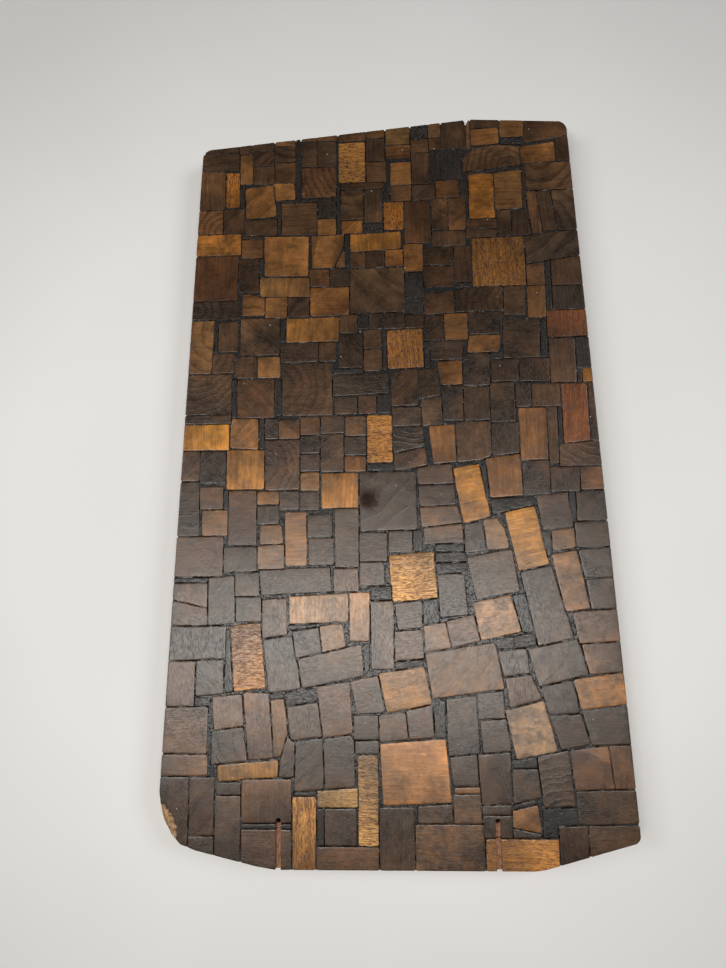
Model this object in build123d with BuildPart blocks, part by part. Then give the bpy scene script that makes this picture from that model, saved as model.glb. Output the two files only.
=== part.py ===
from build123d import *
import os

# Wooden mosaic plaque lying on its back, face up.
# X runs across the plaque, Y from its foot to its crown, Z out of its face.
# The origin is the middle of the flat back.  All sizes are in millimetres.

os.makedirs("parts", exist_ok=True)

board_thickness = 6.0
bed_thickness = 1.5
block_height = 11.5
face_height = board_thickness + bed_thickness + block_height
filler_sink = 0.8
joint_width = 0.8
worn_edge = 0.4
sliver_worn_edge = 0.15

notch_spots = [(-60.3, 247.0), (59.6, 254.5)]
notch_width = 3.4
notch_depth = 2.8

cord_hole_spots = [(-74.9, -225.8), (64.8, -225.8)]
cord_hole_radius = 1.8
cord_hole_depth = 9.0
channel_width = 3.4
channel_depth = 3.5
foot_edge = -255.3

break_centre = (-146.2, -227.4, face_height)
break_line = (9.0, -21.5, 0)
break_slope = 40.0
break_block = (80, 60, 30)

# Edge of the plaque, clockwise from the crown's left corner.
# It widens from crown to foot, the crown peaks right of the middle and
# the foot is bevelled both ways.  The last five corners follow the break.
edge_points = [
    (-131.9, 239.6),
    (62.5, 255.3),
    (131.0, 250.6),
    (152.8, -238.0),
    (92.5, -254.6),
    (86.0, foot_edge),
    (-77.0, foot_edge),
    (-89.6, -253.2),
    (-128.4, -244.0),
    (-138.2, -240.2),
    (-145.0, -233.4),
    (-150.2, -225.5),
    (-152.6, -208.0),
]

rounded_corners = [
    ((-131.9, 239.6), 7.0),
    ((131.0, 250.6), 7.0),
    ((152.8, -238.0), 5.0),
]

# Every block is a wood name with either its left, right, bottom and top
# sides or, where it was laid askew, its corners clockwise from top left.
crown_left = [
    ("walnut", -134, -105.2, 237, 245),
    ("walnut", -135, -105.2, 223.3, 236.8),
    ("walnut", -104.9, -95.8, 235.2, 246),
    ("maple", -104.2, -95.2, 212, 234.8),
    ("chestnut", -137, -115.4, 193, 222.8),
    ("mahogany", -114.3, -104.6, 194.3, 220.8),
    ("bog_oak", -104.2, -101, 194, 211.5),
    ("maple", (-100.3, 208), (-80.4, 210.2), (-78, 186.8), (-99.3, 185)),
    ("chestnut", -94.6, -79.3, 211.4, 225),
    ("walnut", -94.6, -79.6, 225.6, 237),
    ("walnut", -95.2, -79.6, 237.6, 248),
    ("chestnut", -79, -64.2, 240.8, 250),
    ("walnut", -79, -64.2, 228, 240.4),
    ("walnut", -79, -64.2, 212, 227.4),
    ("maple", (-79.8, 211.6), (-65.4, 211.4), (-64.2, 198.6), (-78, 198)),
    ("bog_oak", -63.6, -60, 230, 250),
    ("bog_oak", -63.4, -59.8, 199.4, 229.4),
    ("chestnut", -138, -116.6, 174.6, 192.2),
    ("walnut", -116, -101.4, 174.4, 192.6),
    ("walnut", -100.6, -77.4, 172.2, 184),
    ("bog_oak", -76.8, -74.4, 172.4, 197),
    ("chestnut", -73.8, -48.8, 172, 195.6),
    ("bog_oak", -73.8, -48.8, 196.2, 198.6),
    ("mahogany", -140, -103.4, 158, 173.6),
    ("chestnut", -102.4, -87.8, 155, 169),
    ("walnut", -102.4, -87.8, 169.6, 171.8),
]
crown_centre = [
    ("chestnut", -58.8, -48.6, 243.2, 252),
    ("chestnut", -48, -33.6, 243.2, 252),
    ("chestnut", -32.6, -12.8, 242.6, 252),
    ("chestnut", -12.2, 0.6, 244, 253),
    ("walnut", -59, -48.6, 223.4, 242.8),
    ("walnut", -48, -34.8, 223.4, 242.8),
    ("chestnut", -58.9, -34.8, 199.6, 222.8),
    ("mahogany", -32.2, -13.8, 210.3, 240.6),
    ("walnut", -12.6, 0.6, 226, 243.4),
    ("chestnut", -12.4, 1.2, 209.8, 225),
    ("bog_oak", 1.8, 4, 203.6, 227),
    ("maple", 1.6, 18.6, 238.2, 256),
    ("chestnut", 1.6, 19, 227.6, 237.6),
    ("maple", 4.7, 19.2, 206.8, 223.8),
    ("chestnut", 4.7, 19.2, 194.6, 206.4),
    ("bog_oak", 19.6, 31.8, 242.4, 257),
    ("chestnut", 32.4, 41.2, 242.4, 257),
    ("chestnut", 19.6, 32, 231.4, 241.6),
    ("chestnut", 32.6, 41.2, 232.8, 241.8),
    ("walnut", 20, 32.2, 206.8, 230.8),
    ("bog_oak", 33, 54.6, 209.6, 232),
    ("walnut", 19.8, 36, 195, 206.2),
    ("chestnut", 36.8, 52.8, 196, 209),
    ("bog_oak", -47.6, -34.8, 184, 198.8),
    ("maple", -48, -35, 170.9, 182.6),
    ("bog_oak", -34.2, -31.8, 171.4, 208),
    ("walnut", -31.4, -1, 204.6, 209.4),
    ("chestnut", -31, -15.4, 181.6, 204),
    ("maple", -30.8, -16.2, 171.4, 180.6),
    ("bog_oak", -15.4, -1.6, 171.4, 178.4),
    ("chestnut", -14.2, -2, 179, 204),
    ("bog_oak", -1.2, 3.8, 194.4, 203),
    ("mahogany", -0.4, 13.2, 173.2, 193.8),
    ("walnut", 14.2, 32.2, 162.4, 193.8),
    ("walnut", 33.4, 44.6, 172, 195),
    ("chestnut", 45.2, 57, 171, 195),
    ("mahogany", (-25, 170), (10.6, 171), (10.6, 158.6), (-24.6, 157)),
    ("maple", (-52, 170.2), (-29.2, 170.2), (-30.6, 161), (-37, 146.4), (-52, 146.4)),
    ("chestnut", (-29.2, 159.6), (-28.4, 146.4), (-35.8, 146.4)),
    ("bog_oak", -28.4, -25.6, 147, 170.6),
]
crown_right = [
    ("walnut", 41.6, 58.8, 233.2, 258),
    ("chestnut", 59.4, 62, 232, 258),
    ("walnut", 62.6, 83.2, 248.4, 258),
    ("maple", (62.6, 247), (82, 248), (82.2, 236.2), (62.6, 235.2)),
    ("maple", 83.8, 100.2, 240.4, 258),
    ("bog_oak", 84.2, 100.2, 235, 239.8),
    ("walnut", (100.8, 256), (134, 256), (134, 240.4), (126, 239.4), (101, 235.6)),
    ("walnut", (122.8, 238.6), (134, 240), (135, 220.6), (122.4, 220.6)),
    ("maple", (97.6, 232), (121.8, 234.8), (121.8, 220.6), (98.4, 219.6)),
    ("chestnut", (56.6, 225), (64, 232), (82.4, 234.6), (96.6, 232.6), (97.2, 218.6), (57, 214.8)),
    ("bog_oak", (59.6, 214.4), (97.2, 218), (97.4, 215.4), (60, 212.8)),
    ("mahogany", 60.3, 77.6, 179.2, 212.8),
    ("maple", (78.2, 212.6), (97.4, 215), (97.4, 186), (78.2, 185.4)),
    ("walnut", 98, 99.8, 186, 217.6),
    ("chestnut", 100.4, 137, 199, 219.4),
    ("chestnut", (100.4, 198), (107, 198), (110.4, 166.4), (103.8, 166.4)),
    ("walnut", (107.8, 198), (117, 198), (120.6, 168.6), (111.2, 168.6)),
    ("walnut", (117.8, 198), (138, 198), (138, 168.6), (121.4, 168.6)),
    ("walnut", 79.4, 88.8, 165.6, 184.6),
    ("walnut", (89.6, 184.6), (99.6, 184.6), (102.8, 165.6), (89.6, 165.6)),
    ("bog_oak", 53.4, 59.2, 196.4, 208.6),
    ("walnut", 58, 78.4, 171.4, 178),
    ("walnut", 57.2, 78.4, 165, 170.6),
    ("walnut", 33.4, 56.4, 159.4, 170.2),
    ("mahogany", 61, 97.2, 128.6, 164),
    ("walnut", (98.4, 164.6), (138, 168), (138, 149.6), (98.4, 144.4)),
]
upper_left = [
    ("chestnut", -141, -105.4, 124.2, 157.2),
    ("walnut", -104.4, -90.4, 129.6, 154.4),
    ("bog_oak", -89.6, -86.8, 140.2, 154.4),
    ("maple", (-86, 170.6), (-55, 169.6), (-55.4, 140.6), (-86, 141.4)),
    ("maple", (-89.4, 139.6), (-54.2, 138.6), (-53.6, 124.8), (-88.8, 126)),
    ("maple", (-101, 128), (-86, 125.4), (-86, 112.6), (-101.6, 112.6)),
    ("maple", -85.2, -70, 110, 125.2),
    ("walnut", -69.4, -54.4, 110.4, 124.6),
    ("walnut", -142, -104, 110.4, 123.6),
    ("maple", (-142, 109), (-121.6, 109), (-123.2, 71), (-142, 71)),
    ("bog_oak", -121.2, -119, 85.6, 107.6),
    ("chestnut", -118.4, -105, 86.4, 107.6),
    ("chestnut", -102.4, -75.2, 83.4, 109.6),
    ("bog_oak", -74.6, -71.2, 92.4, 108.4),
    ("mahogany", -70.2, -33.6, 92, 108.8),
    ("walnut", -74.4, -48, 77.6, 91),
    ("chestnut", -47.4, -36, 77.6, 90.8),
    ("chestnut", -122.6, -107.2, 71, 84.6),
    ("chestnut", -106.2, -91.6, 67, 82.2),
    ("maple", -90.2, -75, 67, 81.4),
    ("chestnut", -143, -108.8, 41.4, 69.8),
    ("bog_oak", -108, -105, 38.8, 66),
    ("chestnut", -104.4, -78.8, 38.4, 65.4),
    ("bog_oak", -78.2, -73.8, 40, 64.8),
    ("chestnut", -73, -38.6, 39.6, 76),
]
upper_centre = [
    ("chestnut", -24.6, -14.2, 145.4, 156.6),
    ("walnut", -13.6, -0.8, 145.4, 157.4),
    ("maple", -0.2, 12, 145.6, 157.8),
    ("maple", 13.2, 26.2, 141.4, 161.6),
    ("walnut", 27, 47.4, 145.4, 158.4),
    ("walnut", 27, 47.4, 129.2, 144.6),
    ("walnut", 48.2, 59.6, 132.2, 158.4),
    ("bog_oak", 48.2, 59.6, 128.4, 131.6),
    ("chestnut", -53.4, -40, 132, 144.4),
    ("walnut", -39.4, -25.6, 132, 144.4),
    ("maple", -53.4, -26.4, 110.8, 131.2),
    ("chestnut", -25, 12.8, 112, 144.4),
    ("bog_oak", 13.6, 26.2, 122, 140),
    ("bog_oak", 13.8, 25.4, 110.4, 120.6),
    ("chestnut", -32.6, -20.8, 97.6, 110.4),
    ("bog_oak", -20, -12.8, 100, 110.8),
    ("walnut", -12.2, -2.6, 100, 110.8),
    ("walnut", -2, 12.4, 99.8, 110.8),
    ("walnut", 13.2, 25.6, 99.8, 109.6),
    ("walnut", -33.2, -17, 72.4, 96.8),
    ("chestnut", -16, -3.8, 85.8, 99),
    ("chestnut", -16, -3.8, 70, 84.8),
    ("bog_oak", -3.2, -0.6, 70, 98.4),
    ("mahogany", (0, 98), (24.2, 99.2), (25.2, 71.8), (0.6, 71.2)),
    ("chestnut", (26.6, 123.8), (47.4, 125.4), (47.4, 110), (26.6, 109.6)),
    ("walnut", (48, 125.6), (61, 128), (80.8, 128.6), (80.8, 110.6), (48, 110.6)),
    ("walnut", 26.6, 39.4, 90.6, 107.6),
    ("maple", 40.2, 55.8, 90.6, 109.2),
    ("walnut", 30, 52, 76.4, 89.4),
    ("bog_oak", 26, 29.4, 71, 89.4),
    ("bog_oak", -37.4, -17, 68.2, 71.6),
    ("walnut", (-37.8, 67.4), (0, 67.4), (0, 54), (-37.8, 52.4)),
    ("chestnut", 3, 20.4, 44.8, 69.6),
    ("walnut", (21, 70), (33, 70), (36, 51.4), (21, 49)),
    ("maple", (35, 74.6), (51.2, 75.6), (51, 58.8), (37, 58.4)),
]
upper_right = [
    ("chestnut", (81.8, 127.4), (96, 128.2), (95.6, 107.4), (81.8, 107.4)),
    ("chestnut", (98.4, 142.8), (110.4, 144.6), (110.4, 128.4), (98.4, 128.4)),
    ("maple", 98.4, 110.4, 105, 127.6),
    ("bog_oak", (111, 145.6), (114.6, 146), (114.6, 110.2), (111, 110.2)),
    ("chestnut", (115.4, 146.4), (139, 148.8), (139, 127.8), (115.4, 127.8)),
    ("walnut", 115.4, 139, 110, 127.2),
    ("padauk", 110.6, 141, 90.8, 109.4),
    ("walnut", 80.4, 104.8, 76.6, 103.4),
    ("bog_oak", (107.4, 102.8), (109.8, 102.8), (109.8, 76.6), (105.4, 76.6), (105.4, 84)),
    ("walnut", 57, 79.6, 93.8, 109.8),
    ("maple", (57.2, 93), (78.2, 93), (76.8, 81), (55.6, 81)),
    ("walnut", 52.2, 70, 57.4, 80),
    ("walnut", 71, 89.8, 60, 75.2),
    ("walnut", 90.4, 110.6, 59.8, 75.6),
    ("bog_oak", 71, 79, 76, 80.2),
    ("chestnut", 111.4, 128.6, 58.4, 89),
    ("bog_oak", 129.4, 142, 68.2, 89.8),
    ("mahogany", 132.8, 143, 58.4, 67.6),
    ("bog_oak", 129.4, 132.2, 58.4, 67.6),
]
middle_left = [
    ("walnut", -144, -108.8, 34.8, 40.8),
    ("mahogany", -144, -110.4, 16.4, 34.2),
    ("maple", (-108.4, 37.8), (-90, 37.6), (-89.8, 16), (-109, 18)),
    ("bog_oak", -88.8, -85.6, 16.6, 37.4),
    ("walnut", -85, -76, 23.2, 37.4),
    ("chestnut", -75.4, -61.2, 23.2, 36.2),
    ("chestnut", -60.4, -47.4, 25.6, 37.4),
    ("walnut", -60.4, -47.4, 12.6, 24.8),
    ("walnut", -60.4, -47.4, 0.2, 11.8),
    ("chestnut", -84.4, -61.2, -12, 22.4),
    ("maple", -60.4, -48, -12.8, -0.6),
    ("mahogany", -111, -85.8, -11.2, 15.6),
    ("walnut", -129.6, -112.4, -6.6, 15.4),
    ("chestnut", -146, -130.2, -5, 15.6),
    ("walnut", -146, -130.2, -42.6, -5.8),
    ("chestnut", -129.4, -113.6, -24.6, -9.6),
    ("bog_oak", -113, -110.2, -25, -12),
    ("maple", -127.4, -110.4, -42.6, -25.4),
    ("chestnut", -109.6, -90.8, -49, -12.4),
    ("mahogany", -90, -75.4, -22, -13.6),
    ("walnut", -89.8, -75.4, -35.4, -22.8),
    ("maple", (-87.8, -36.6), (-74, -35.6), (-72.6, -48.6), (-87.8, -49)),
    ("walnut", -74.6, -61.6, -25.4, -13.4),
    ("walnut", -60.8, -48, -26, -13.8),
    ("maple", -70.6, -56.6, -63.4, -27.8),
    ("walnut", -55.6, -39.4, -44.6, -29.6),
]
middle_centre = [
    ("walnut", -36.4, -21.2, 39.8, 51.6),
    ("chestnut", -20.4, -8.2, 39.8, 51.8),
    ("bog_oak", -7.6, 1, 40, 52.6),
    ("walnut", 3, 22, 30.6, 43),
    ("chestnut", (23, 47.6), (36, 50.2), (37, 30.8), (23.8, 30.4)),
    ("walnut", 37.6, 51.2, 33.6, 57.6),
    ("chestnut", -46, -30.4, 26.2, 37.8),
    ("chestnut", -29.4, -15.4, 24.2, 37.4),
    ("walnut", -30, -15.4, 10.6, 23.6),
    ("chestnut", -46.4, -31, -0.2, 25.4),
    ("maple", -30.2, -16, -0.2, 9.8),
    ("mahogany", -14.6, 2.2, 5.4, 37.8),
    ("bog_oak", -15.2, 3, 0.2, 4.6),
    ("walnut", (3.2, 28.6), (23, 29.6), (23.8, 16), (3.4, 11.8)),
    ("chestnut", (4, 10.8), (24.2, 15), (25.6, 2.8), (4, 0)),
    ("maple", (27.8, 29.8), (44.6, 30), (45.4, 5.2), (30.4, 3.8)),
    ("mahogany", -45.8, -21.6, -25, -1.8),
    ("walnut", -19.8, 17.6, -40.6, -1.6),
    ("chestnut", (19.4, 1.6), (42, 3), (43, -9.8), (19.6, -10.2)),
    ("walnut", (19.8, -11), (43, -10.6), (44.2, -24.2), (20.4, -25)),
    ("maple", (20.4, -26), (44.4, -25), (48, -36.2), (21.6, -39)),
    ("chestnut", -37, -21.4, -65, -25.8),
    ("walnut", -20.6, -2.6, -61.4, -42.6),
    ("walnut", -0.8, 14.6, -55.4, -41.4),
    ("bog_oak", 15.4, 21, -54.6, -41.4),
    ("chestnut", (22.4, -39.8), (47.6, -37.4), (48.8, -49.2), (23.4, -50.4)),
]
middle_right = [
    ("walnut", 52, 69.2, 33.4, 56.4),
    ("walnut", 70, 86.2, 31.6, 58.8),
    ("walnut", 87.2, 97.4, 41.8, 58.4),
    ("chestnut", 98, 116.8, 41.8, 57.4),
    ("maple", 88.8, 107, 5.2, 40.6),
    ("chestnut", 107.8, 114.2, 2.4, 41),
    ("bog_oak", 114.8, 117.4, 16, 41),
    ("padauk", (118, 57), (135, 57), (135.6, 17.4), (118.2, 16.2)),
    ("chestnut", 136, 145, 17.6, 57.4),
    ("chestnut", (114.8, 15.2), (145, 17), (145, 0.6), (114.8, 0.2)),
    ("chestnut", (46, 31.2), (69, 32.2), (69, 8.4), (61, 6), (46.4, 4.8)),
    ("walnut", (70, 30.4), (88, 31.4), (88, 10.2), (70, 8.4)),
    ("maple", (65.4, 6.4), (88.2, 9.2), (89, -18.6), (67.6, -20)),
    ("walnut", 89.8, 107.4, -18.6, 4.4),
    ("walnut", 108, 127, -16.6, -0.4),
    ("chestnut", 127.8, 146, -15.6, -0.2),
    ("mahogany", (43.4, -0.2), (60.4, 2.8), (66.8, -32.6), (49.4, -36.6)),
    ("bog_oak", (61.6, 1.8), (64.8, 3), (66.8, -19.6), (65, -19.8)),
    ("bog_oak", (68.6, -21.2), (96.6, -20), (96, -25.6), (77, -29.2), (68.8, -31)),
    ("mahogany", (77, -30.2), (96, -26.4), (104, -64.6), (84.6, -68.8)),
    ("walnut", (98, -19.4), (118.6, -17.6), (121.2, -40.4), (102, -42.4)),
    ("bog_oak", 119.4, 123.4, -28.4, -17.4),
    ("walnut", (124.2, -17.4), (147, -16.2), (148, -36), (124.4, -36.4)),
    ("walnut", (122.2, -37.6), (148, -36.8), (149, -53.4), (122.8, -53.6)),
    ("walnut", (50, -37.8), (61.4, -36), (63.6, -54.6), (49.6, -56.6)),
    ("maple", (62.2, -35.4), (71.2, -34.4), (75.6, -41.2), (78.6, -53.6), (64.4, -54.8)),
    ("maple", (106.8, -43), (121.6, -41.2), (122, -53.8), (107.2, -55.8)),
    ("bog_oak", (99.8, -42.8), (106, -43.6), (106.4, -57), (104, -60.4)),
]
lower_left = [
    ("chestnut", -149, -113.2, -69.8, -43.4),
    ("bog_oak", -150, -123.4, -73.8, -71),
    ("chestnut", (-150, -74.4), (-123.4, -74.4), (-123.4, -90.8), (-150, -84.4)),
    ("chestnut", (-150, -85), (-123.4, -91.4), (-123.4, -102.4), (-152, -102)),
    ("walnut", (-122.6, -71), (-105.2, -70), (-104.4, -100.8), (-122.6, -102.4)),
    ("walnut", -112.6, -90.2, -66.8, -50.8),
    ("maple", (-89.6, -50), (-71.8, -49.4), (-71.8, -65.4), (-89.6, -65.8)),
    ("walnut", -104.8, -88.6, -83.4, -67.8),
    ("walnut", -104, -87, -100, -84),
    ("walnut", (-88.2, -66.4), (-41.2, -65.2), (-40.2, -80.6), (-86.6, -82.6)),
    ("maple", (-67.6, -84.6), (-28.8, -82.6), (-29, -100.6), (-67.6, -101.8)),
    ("chestnut", (-86, -86), (-70.2, -85.6), (-69.8, -108.6), (-86, -111)),
    ("mahogany", (-107.6, -103.6), (-87.6, -101.2), (-84, -143), (-104.4, -145)),
    ("bog_oak", (-110.2, -105), (-108.2, -105), (-105.4, -145.4), (-110.8, -145.4)),
    ("walnut", (-153, -102.8), (-110, -103.4), (-110.6, -123.8), (-153, -125.2)),
    ("chestnut", -156, -131, -154.6, -125.8),
    ("walnut", (-129.8, -125.4), (-112, -124.8), (-112, -146.4), (-130.2, -147.8)),
    ("walnut", (-85.2, -112.4), (-66.2, -109.8), (-60.6, -143.6), (-81.2, -146)),
    ("walnut", (-66, -106.8), (-48.6, -104.4), (-46.8, -120.6), (-63.8, -124.2)),
    ("maple", (-47.8, -104), (-33.2, -101.8), (-30.8, -117.2), (-46, -120.6)),
    ("chestnut", (-62, -124.8), (-20.6, -116), (-19.2, -135.6), (-59.2, -143.4)),
    ("bog_oak", (-68.8, -103), (-50, -102.4), (-49.4, -103.8), (-66.6, -106)),
]
lower_centre = [
    ("walnut", -54.8, -38.4, -63, -45.4),
    ("chestnut", -38, -22, -80.8, -66),
    ("walnut", -20.6, -4.8, -77.4, -62),
    ("bog_oak", -13.2, 0.2, -86.8, -78.2),
    ("maple", -27.6, -14.8, -113.2, -82.4),
    ("mahogany", (-0.8, -58.2), (28.6, -56), (30.4, -85.6), (0.8, -88)),
    ("bog_oak", 30, 48.6, -55.6, -51),
    ("bog_oak", 30, 49.6, -62.4, -56.4),
    ("bog_oak", 30, 49.8, -69.6, -63.2),
    ("walnut", (31, -70.6), (48, -70.4), (49.8, -96.8), (32.2, -98.4)),
    ("walnut", (2.2, -89.2), (20, -88), (20.2, -104.6), (4.4, -106.4)),
    ("bog_oak", (21, -87.8), (30, -86.8), (31.4, -101.4), (21, -103)),
    ("chestnut", (1.8, -107.8), (20, -106.8), (20.4, -125), (1.8, -126)),
    ("chestnut", -13.6, 1, -131.4, -87.8),
    ("bog_oak", (1.8, -127.4), (20.4, -126), (20, -129.4), (1.8, -132)),
    ("mahogany", (-8.8, -134.8), (20, -130.4), (24.8, -153.6), (-4, -159)),
    ("maple", (21, -104.4), (35, -102.2), (38.2, -118.4), (22, -120.6)),
    ("chestnut", (35.8, -101.6), (53.6, -97.6), (57.4, -113.8), (39.2, -117.8)),
    ("maple", (21.8, -122), (67, -115.6), (71.6, -144.6), (25.8, -150)),
    ("bog_oak", (-18.8, -116.8), (-15.4, -115), (-15.4, -131.8), (-18, -135)),
    ("chestnut", (-27.4, -139.4), (-10, -136.2), (-5.6, -158.4), (-23.2, -160.2)),
    ("chestnut", (-50, -142.8), (-28.6, -139.8), (-26.8, -172), (-45.6, -174.8)),
]
lower_right = [
    ("chestnut", (50.8, -60), (79.8, -54.8), (84, -82), (56.4, -87)),
    ("maple", (54.2, -89.6), (78, -85), (84.2, -108), (58, -113.4)),
    ("bog_oak", (79.6, -85.2), (87.6, -83.6), (93, -108.6), (85.4, -108.6)),
    ("walnut", (85.6, -70), (105.2, -66), (117.6, -112.6), (94.8, -117.6)),
    ("maple", (106.6, -58.8), (122.4, -56.4), (129, -93.4), (113.4, -95.6)),
    ("walnut", (123.8, -56), (150, -54.2), (150, -73.4), (127.4, -74.2)),
    ("walnut", (128, -75), (150, -74.2), (150, -93.8), (130.4, -94.2)),
    ("chestnut", (118.4, -96.2), (152, -94.4), (152, -114.6), (121.2, -116.2)),
    ("chestnut", (122.8, -117), (153, -115.2), (153, -133.6), (127, -135.6)),
    ("chestnut", (88.4, -119.8), (120.4, -113.4), (126, -135.4), (94.6, -143.2)),
    ("walnut", (69, -120.2), (87, -119.6), (88.2, -134.8), (72.2, -136.8)),
    ("bog_oak", (67.6, -113.6), (79.4, -111.4), (79.4, -119), (69, -119.4)),
    ("bog_oak", (80.2, -111.2), (92.6, -109.6), (94.2, -117.2), (80.2, -118.8)),
    ("chestnut", (73.2, -138.4), (88.8, -136), (95.4, -150.8), (75.6, -156.2)),
    ("mahogany", (116.4, -139.2), (156, -134), (156, -153.6), (120.6, -157.4)),
    ("walnut", (95.6, -144), (115.6, -139.8), (119.4, -159.8), (100, -160.6)),
]
foot_left = [
    ("bog_oak", -130.6, -120.6, -154.4, -149.2),
    ("chestnut", (-156, -155.6), (-121.8, -155.2), (-122.4, -184.4), (-156, -183.8)),
    ("chestnut", -157, -121.8, -198, -185.2),
    ("walnut", -157, -133.8, -250, -199.2),
    ("walnut", -133, -117, -234.8, -199.6),
    ("walnut", -133.4, -116.8, -252, -235.6),
    ("walnut", -116, -99.6, -256, -210.8),
    ("walnut", -114.8, -99.6, -210, -202.6),
    ("chestnut", (-118.4, -149), (-99.6, -147.4), (-98.4, -166.8), (-117.2, -169.6)),
    ("walnut", (-118.6, -171), (-98.6, -168.2), (-95.6, -188.6), (-118.6, -191)),
    ("chestnut", (-98.2, -146), (-81.8, -147), (-78.6, -187), (-94.2, -188.2)),
    ("maple", (-80, -151), (-71.6, -150.2), (-69.4, -172), (-73.6, -186), (-77.6, -187)),
    ("walnut", (-68.8, -174), (-64.4, -178.4), (-65, -199), (-74.6, -199), (-73, -187)),
    ("bog_oak", -80.4, -71.8, -150, -147),
    ("mahogany", (-114.6, -192), (-75.6, -189), (-75.4, -198.6), (-113.8, -201.6)),
    ("chestnut", -98.8, -66.8, -227, -200.8),
    ("bog_oak", -98.8, -66.8, -230.6, -227.8),
    ("walnut", -98.8, -66.8, -258, -231.2),
    ("mahogany", -65.4, -51, -258, -211.2),
    ("walnut", (-69.2, -155.4), (-49.2, -152.8), (-46.8, -174), (-67, -176.2)),
    ("bog_oak", (-71.2, -147.2), (-51, -143.6), (-49.4, -151.8), (-69.8, -154.6)),
    ("walnut", (-63.6, -177.4), (-46.6, -175.4), (-45.6, -206.2), (-64.2, -208)),
    ("bog_oak", -64.8, -50.4, -210.6, -208.4),
]
foot_centre = [
    ("walnut", (-45.2, -175.8), (-28.4, -173.4), (-25.8, -176.8), (-25.8, -205), (-44.6, -206.4)),
    ("walnut", -25.4, -10, -176, -161),
    ("walnut", -24.8, -10, -185, -176.8),
    ("mahogany", -23, -10.8, -240.6, -185.6),
    ("mahogany", (-49.6, -207.6), (-23.8, -206), (-23.8, -217.2), (-49, -217.4)),
    ("bog_oak", -49.4, -45.6, -240.6, -218.6),
    ("walnut", -45, -25, -240.6, -218.6),
    ("chestnut", -50.2, -10.8, -258, -241.6),
    ("chestnut", (-9.6, -161), (7.6, -159.4), (9.4, -175.8), (-8.6, -177.6)),
    ("walnut", (8.4, -158.4), (24.8, -154.8), (26, -174.4), (10, -175.8)),
    ("bog_oak", (26, -153), (33.6, -151.8), (33.2, -174.6), (27.2, -175.2)),
    ("maple", (-8.6, -179), (33, -176), (35.6, -214), (-7, -216)),
    ("walnut", (34.6, -151.6), (53.6, -149), (54.6, -184.6), (35.2, -186)),
    ("walnut", (36, -187), (52.8, -185.4), (53.6, -204), (38, -205)),
    ("maple", 38.2, 54.2, -209, -205.4),
    ("chestnut", 37.6, 54.6, -227, -209.6),
    ("walnut", -9.8, 12, -258, -218),
    ("walnut", (14.8, -217.2), (36.4, -216), (36.4, -227), (15.2, -227)),
    ("chestnut", 12.8, 55.8, -258, -227.8),
]
foot_right = [
    ("walnut", (54.2, -147.6), (70.8, -146), (71.4, -162.6), (55, -163.6)),
    ("walnut", (56, -164.6), (72.2, -163.6), (74.6, -183), (57.4, -184.4)),
    ("walnut", (53.8, -185.6), (74, -184.2), (74.2, -214.6), (55.2, -215.6)),
    ("maple", (72, -158.6), (96.6, -152.6), (103.6, -183), (78.4, -188)),
    ("walnut", (100.4, -161.4), (119.8, -160.8), (124.6, -178.6), (106.8, -182.2)),
    ("walnut", (121, -158.6), (157, -154.6), (157, -179), (126, -179.4)),
    ("bog_oak", (76, -189), (90.4, -187), (90.6, -193.4), (76.2, -193.4)),
    ("walnut", (75.2, -194.4), (91, -194.2), (92.6, -211), (75.2, -215)),
    ("walnut", (91.2, -186.8), (110.8, -183), (113.6, -216.4), (94.2, -217.4)),
    ("chestnut", (112.2, -183.2), (135.6, -180.2), (138.4, -205.8), (114.2, -206.8)),
    ("chestnut", (136.2, -180), (158, -179.6), (158, -206), (139, -206)),
    ("walnut", (114.6, -207.8), (158, -206.8), (158, -226), (115.2, -227.6)),
    ("bog_oak", (93.4, -218.2), (114.2, -217.4), (114.6, -228), (102, -228), (102, -235.6), (92.4, -235.6)),
    ("chestnut", 121.2, 158, -250, -228.4),
    ("walnut", 102.6, 120.6, -256, -228.6),
    ("mahogany", 57, 102, -258, -236.4),
    ("walnut", 55.6, 73.4, -235.6, -222.4),
    ("walnut", 55.4, 73.4, -221.8, -216.4),
    ("maple", (74.2, -219.4), (89.8, -216), (91.6, -232.6), (74.4, -229.2)),
    ("walnut", (74.4, -230), (91.6, -233.4), (91.6, -235.6), (74.4, -235.6)),
    ("bog_oak", (75.2, -216), (89, -213), (89, -215.4), (75.2, -218.6)),
]

mosaic = {
    "crown": (crown_left, crown_centre, crown_right),
    "upper": (upper_left, upper_centre, upper_right),
    "middle": (middle_left, middle_centre, middle_right),
    "lower": (lower_left, lower_centre, lower_right),
    "foot": (foot_left, foot_centre, foot_right),
}
column_names = ("left", "centre", "right")
common_woods = ("walnut", "chestnut")
accent_woods = ("maple", "mahogany", "padauk")

bed_plane = Plane.XY.offset(board_thickness)
block_plane = Plane.XY.offset(board_thickness + bed_thickness)
face_plane = Plane.XY.offset(face_height)


def corners_of(shape):
    """Corners of a block given by its four sides or already by its corners."""
    if isinstance(shape[0], tuple):
        return shape
    left, right, bottom, top = shape
    return [(left, top), (right, top), (right, bottom), (left, bottom)]


# The plaque's outline: rounded corners and two V notches in the crown.
with BuildSketch() as outline:
    Polygon(*edge_points, align=None)
    for corner, radius in rounded_corners:
        fillet(outline.vertices().sort_by_distance((*corner, 0))[0], radius=radius)
    for notch_x, notch_y in notch_spots:
        with Locations((notch_x, notch_y)):
            Polygon(
                (-notch_width / 2, 2),
                (notch_width / 2, 2),
                (notch_width / 2, 0),
                (0, -notch_depth),
                (-notch_width / 2, 0),
                align=None,
                mode=Mode.SUBTRACT,
            )

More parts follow.
